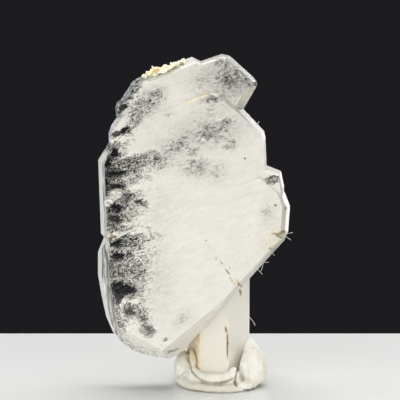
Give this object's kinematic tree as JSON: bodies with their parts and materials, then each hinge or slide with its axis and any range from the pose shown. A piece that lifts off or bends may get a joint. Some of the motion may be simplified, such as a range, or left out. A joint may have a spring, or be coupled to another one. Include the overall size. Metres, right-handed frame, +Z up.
{
  "type": "faden quartz crystal specimen on a putty foot",
  "caption": "Tabular faden quartz plate with milky bands and clear edges, grown on a short prismatic crystal that stands in pressed mineral putty.",
  "frame": {"origin": "on the surface that the putty rests on, under the middle of the specimen's box", "axes": "+X to the right and +Z up as the broad face is seen, -Y out of the broad face"},
  "size_m": [0.0253, 0.0117, 0.0441],
  "materials": {
    "quartz": "polished",
    "crust": "matte",
    "putty": "matte"
  },
  "bodies": {
    "root": {"quartz": "quartz", "yellow_crust": "crust", "putty": "putty"}
  },
  "joints": []
}
